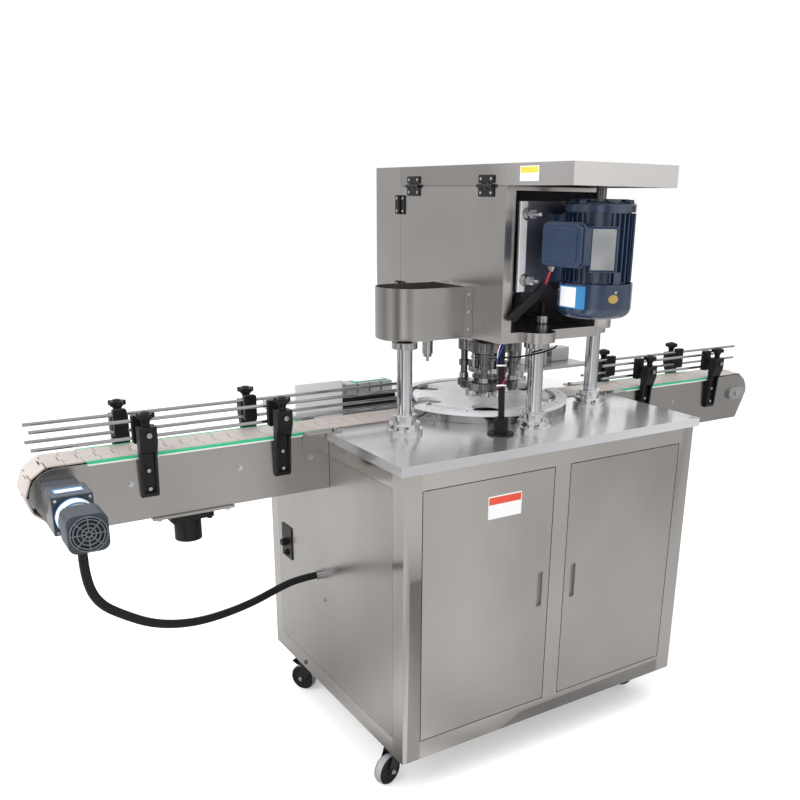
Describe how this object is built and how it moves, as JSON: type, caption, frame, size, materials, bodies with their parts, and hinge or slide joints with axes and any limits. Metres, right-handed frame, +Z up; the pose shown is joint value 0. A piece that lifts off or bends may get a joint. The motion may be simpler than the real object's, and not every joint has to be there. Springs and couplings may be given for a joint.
{
  "type": "can sealing machine",
  "caption": "Stainless can sealing machine: cabinet on casters, flat-top conveyor through the table, star wheel, seaming head and finned motor on columns under a hooded box.",
  "frame": {"origin": "on the floor under the middle of the table", "axes": "+X along the conveyor, towards its tail end; -Y the side with the doors; +Z up"},
  "size_m": [2.2898, 0.852, 1.464],
  "materials": {
    "stainless": "brushed sheet",
    "table_sheet": "smooth bright sheet",
    "polished": "turned and polished",
    "chain": "matt plastic links",
    "green_strip": "matt",
    "black_plastic": "moulded",
    "gear_blue": "dark blue-grey paint",
    "motor_blue": "glossy dark blue paint",
    "white_plastic": "machined sheet",
    "dark_steel": "machined dark steel",
    "black_rubber": "ribbed hose",
    "caster_black": "black",
    "tread": "light grey tread",
    "zinc": "zinc plated",
    "aluminium": "anodised"
  },
  "bodies": {
    "machine": {"cabinet_frame": "stainless", "cabinet_panels": "stainless", "table_top": "table_sheet", "fittings": "black_plastic", "motor_hose": "black_rubber", "columns": "polished", "head_base": "stainless", "head_shell": "stainless", "motor_mount": "stainless", "motor_body": "motor_blue", "conveyor_frame": "stainless", "wear_strips": "green_strip", "conveyor_chain": "chain", "gear_motor": "gear_blue", "rail_arms": "black_plastic", "can_guide": "white_plastic", "cable_conduit": "black_rubber", "feed_unit": "aluminium", "drive_belt": "black_rubber"},
    "left_door": {"left_door": "stainless"},
    "right_door": {"right_door": "stainless"},
    "speed_knob": {"speed_knob": "black_plastic"},
    "lid": {"lid": "stainless"},
    "front_cover": {"front_cover": "stainless"},
    "motor_rotor": {"motor_rotor": "dark_steel"},
    "seaming_head": {"seaming_head": "dark_steel"},
    "star_wheel": {"star_wheel": "white_plastic"},
    "can_lifter": {"can_lifter": "polished"},
    "lid_pusher": {"lid_pusher": "aluminium"},
    "drive_shaft": {"drive_shaft": "zinc"},
    "tail_shaft": {"tail_shaft": "zinc"},
    "caster_brake_pedal": {"caster_brake_pedal": "caster_black"},
    "caster_fork_near_left": {"caster_fork_near_left": "caster_black"},
    "caster_wheel_near_left": {"caster_wheel_near_left": "tread"},
    "caster_fork_near_right": {"caster_fork_near_right": "caster_black"},
    "caster_wheel_near_right": {"caster_wheel_near_right": "tread"},
    "caster_fork_far_left": {"caster_fork_far_left": "caster_black"},
    "caster_wheel_far_left": {"caster_wheel_far_left": "tread"},
    "caster_fork_far_right": {"caster_fork_far_right": "caster_black"},
    "caster_wheel_far_right": {"caster_wheel_far_right": "tread"},
    "roller_arm_1": {"roller_arm_1": "dark_steel"},
    "seaming_roller_1": {"seaming_roller_1": "polished"},
    "roller_arm_2": {"roller_arm_2": "dark_steel"},
    "seaming_roller_2": {"seaming_roller_2": "polished"},
    "roller_arm_3": {"roller_arm_3": "dark_steel"},
    "seaming_roller_3": {"seaming_roller_3": "polished"},
    "roller_arm_4": {"roller_arm_4": "dark_steel"},
    "seaming_roller_4": {"seaming_roller_4": "polished"},
    "rail_left_near": {"rail_left_near": "polished"},
    "rail_knob_left_near_1": {"rail_knob_left_near_1": "black_plastic"},
    "rail_knob_left_near_2": {"rail_knob_left_near_2": "black_plastic"},
    "rail_left_far": {"rail_left_far": "polished"},
    "rail_knob_left_far_1": {"rail_knob_left_far_1": "black_plastic"},
    "rail_knob_left_far_2": {"rail_knob_left_far_2": "black_plastic"},
    "rail_right_near": {"rail_right_near": "polished"},
    "rail_knob_right_near_1": {"rail_knob_right_near_1": "black_plastic"},
    "rail_knob_right_near_2": {"rail_knob_right_near_2": "black_plastic"},
    "rail_right_far": {"rail_right_far": "polished"},
    "rail_knob_right_far_1": {"rail_knob_right_far_1": "black_plastic"},
    "rail_knob_right_far_2": {"rail_knob_right_far_2": "black_plastic"}
  },
  "joints": [
    {"name": "caster_swivel_near_left", "type": "hinge", "parent": "machine", "child": "caster_fork_near_left", "pos_m": [-0.41, -0.275, 0.09], "axis": [0, 0, 1], "continuous": true},
    {"name": "caster_spin_near_left", "type": "hinge", "parent": "caster_fork_near_left", "child": "caster_wheel_near_left", "pos_m": [-0.44404, -0.28672, 0.0375], "axis": [-0.3256, 0.9455, 0], "continuous": true},
    {"name": "caster_swivel_near_right", "type": "hinge", "parent": "machine", "child": "caster_fork_near_right", "pos_m": [0.41, -0.275, 0.09], "axis": [0, 0, 1], "continuous": true},
    {"name": "caster_spin_near_right", "type": "hinge", "parent": "caster_fork_near_right", "child": "caster_wheel_near_right", "pos_m": [0.38935, -0.24551, 0.0375], "axis": [0.8192, 0.5736, 0], "continuous": true},
    {"name": "caster_swivel_far_left", "type": "hinge", "parent": "machine", "child": "caster_fork_far_left", "pos_m": [-0.41, 0.2, 0.09], "axis": [0, 0, 1], "continuous": true},
    {"name": "caster_spin_far_left", "type": "hinge", "parent": "caster_fork_far_left", "child": "caster_wheel_far_left", "pos_m": [-0.42908, 0.23053, 0.0375], "axis": [0.848, 0.5299, 0], "continuous": true},
    {"name": "caster_swivel_far_right", "type": "hinge", "parent": "machine", "child": "caster_fork_far_right", "pos_m": [0.41, 0.2, 0.09], "axis": [0, 0, 1], "continuous": true},
    {"name": "caster_spin_far_right", "type": "hinge", "parent": "caster_fork_far_right", "child": "caster_wheel_far_right", "pos_m": [0.37617, 0.18769, 0.0375], "axis": [-0.342, 0.9397, 0], "continuous": true},
    {"name": "brake_pedal_tilt", "type": "hinge", "parent": "caster_fork_far_left", "child": "caster_brake_pedal", "pos_m": [-0.42484, 0.22374, 0.08], "axis": [0.848, 0.5299, 0], "range_deg": [-4, 0]},
    {"name": "left_door_hinge", "type": "hinge", "parent": "machine", "child": "left_door", "pos_m": [-0.397, -0.367, 0.465], "axis": [0, 0, 1], "range_deg": [-110, 0]},
    {"name": "right_door_hinge", "type": "hinge", "parent": "machine", "child": "right_door", "pos_m": [0.397, -0.367, 0.465], "axis": [0, 0, 1], "range_deg": [0, 110]},
    {"name": "speed_knob_turn", "type": "hinge", "parent": "machine", "child": "speed_knob", "pos_m": [-0.46, 0.268, 0.458], "axis": [-1, 0, 0], "range_deg": [0, 270]},
    {"name": "lid_hinge", "type": "hinge", "parent": "machine", "child": "lid", "pos_m": [-0.118, 0, 1.4165], "axis": [0, -1, 0], "range_deg": [0, 100]},
    {"name": "front_cover_hinge", "type": "hinge", "parent": "machine", "child": "front_cover", "pos_m": [-0.118, 0.2105, 1.26], "axis": [0, 0, 1], "range_deg": [0, 90]},
    {"name": "motor_spin", "type": "hinge", "parent": "machine", "child": "motor_rotor", "pos_m": [0.078, -0.352, 1.3], "axis": [0, 0, 1], "continuous": true},
    {"name": "seaming_head_spin", "type": "hinge", "parent": "machine", "child": "seaming_head", "pos_m": [-0.043, -0.109, 1], "axis": [0, 0, 1], "continuous": true},
    {"name": "roller_arm_swing_1", "type": "hinge", "parent": "seaming_head", "child": "roller_arm_1", "pos_m": [0.00084, -0.06516, 0.94], "axis": [0, 0, 1], "range_deg": [0, 3]},
    {"name": "seaming_roller_spin_1", "type": "hinge", "parent": "roller_arm_1", "child": "seaming_roller_1", "pos_m": [-0.04038, -0.05907, 0.92], "axis": [0, 0, 1], "continuous": true},
    {"name": "roller_arm_swing_2", "type": "hinge", "parent": "seaming_head", "child": "roller_arm_2", "pos_m": [-0.08684, -0.06516, 0.94], "axis": [0, 0, 1], "range_deg": [0, 3]},
    {"name": "seaming_roller_spin_2", "type": "hinge", "parent": "roller_arm_2", "child": "seaming_roller_2", "pos_m": [-0.09293, -0.10638, 0.92], "axis": [0, 0, 1], "continuous": true},
    {"name": "roller_arm_swing_3", "type": "hinge", "parent": "seaming_head", "child": "roller_arm_3", "pos_m": [-0.08684, -0.15284, 0.94], "axis": [0, 0, 1], "range_deg": [0, 3]},
    {"name": "seaming_roller_spin_3", "type": "hinge", "parent": "roller_arm_3", "child": "seaming_roller_3", "pos_m": [-0.04562, -0.15893, 0.92], "axis": [0, 0, 1], "continuous": true},
    {"name": "roller_arm_swing_4", "type": "hinge", "parent": "seaming_head", "child": "roller_arm_4", "pos_m": [0.00084, -0.15284, 0.94], "axis": [0, 0, 1], "range_deg": [0, 3]},
    {"name": "seaming_roller_spin_4", "type": "hinge", "parent": "roller_arm_4", "child": "seaming_roller_4", "pos_m": [0.00693, -0.11162, 0.92], "axis": [0, 0, 1], "continuous": true},
    {"name": "star_wheel_spin", "type": "hinge", "parent": "machine", "child": "star_wheel", "pos_m": [0.041, 0.034, 0.87], "axis": [0, 0, 1], "continuous": true},
    {"name": "can_lift", "type": "slide", "parent": "machine", "child": "can_lifter", "axis": [0, 0, 1], "range_m": [0, 0.02]},
    {"name": "lid_push", "type": "slide", "parent": "machine", "child": "lid_pusher", "axis": [-1, 0, 0], "range_m": [0, 0.05]},
    {"name": "drive_shaft_spin", "type": "hinge", "parent": "machine", "child": "drive_shaft", "pos_m": [-1.076, 0.045, 0.784], "axis": [0, 1, 0], "continuous": true},
    {"name": "tail_shaft_spin", "type": "hinge", "parent": "machine", "child": "tail_shaft", "pos_m": [1.058, 0.045, 0.784], "axis": [0, 1, 0], "continuous": true},
    {"name": "rail_slide_left_near", "type": "slide", "parent": "machine", "child": "rail_left_near", "axis": [0, 1, 0], "range_m": [-0.01, 0.018]},
    {"name": "rail_knob_turn_left_near_1", "type": "hinge", "parent": "machine", "child": "rail_knob_left_near_1", "pos_m": [-0.891, -0.031, 0.93], "axis": [0, 0, 1], "range_deg": [0, 360]},
    {"name": "rail_knob_turn_left_near_2", "type": "hinge", "parent": "machine", "child": "rail_knob_left_near_2", "pos_m": [-0.576, -0.031, 0.93], "axis": [0, 0, 1], "range_deg": [0, 360]},
    {"name": "rail_slide_left_far", "type": "slide", "parent": "machine", "child": "rail_left_far", "axis": [0, -1, 0], "range_m": [-0.01, 0.018]},
    {"name": "rail_knob_turn_left_far_1", "type": "hinge", "parent": "machine", "child": "rail_knob_left_far_1", "pos_m": [-0.912, 0.121, 0.93], "axis": [0, 0, 1], "range_deg": [0, 360]},
    {"name": "rail_knob_turn_left_far_2", "type": "hinge", "parent": "machine", "child": "rail_knob_left_far_2", "pos_m": [-0.606, 0.121, 0.93], "axis": [0, 0, 1], "range_deg": [0, 360]},
    {"name": "rail_slide_right_near", "type": "slide", "parent": "machine", "child": "rail_right_near", "axis": [0, 1, 0], "range_m": [-0.01, 0.018]},
    {"name": "rail_knob_turn_right_near_1", "type": "hinge", "parent": "machine", "child": "rail_knob_right_near_1", "pos_m": [0.625, -0.031, 0.93], "axis": [0, 0, 1], "range_deg": [0, 360]},
    {"name": "rail_knob_turn_right_near_2", "type": "hinge", "parent": "machine", "child": "rail_knob_right_near_2", "pos_m": [0.93, -0.031, 0.93], "axis": [0, 0, 1], "range_deg": [0, 360]},
    {"name": "rail_slide_right_far", "type": "slide", "parent": "machine", "child": "rail_right_far", "axis": [0, -1, 0], "range_m": [-0.01, 0.018]},
    {"name": "rail_knob_turn_right_far_1", "type": "hinge", "parent": "machine", "child": "rail_knob_right_far_1", "pos_m": [0.578, 0.121, 0.93], "axis": [0, 0, 1], "range_deg": [0, 360]},
    {"name": "rail_knob_turn_right_far_2", "type": "hinge", "parent": "machine", "child": "rail_knob_right_far_2", "pos_m": [0.882, 0.121, 0.93], "axis": [0, 0, 1], "range_deg": [0, 360]}
  ],
  "couplings": [
    {"joint": "seaming_head_spin", "follows": "motor_spin", "ratio": 0.59559},
    {"joint": "tail_shaft_spin", "follows": "drive_shaft_spin", "ratio": 1}
  ]
}
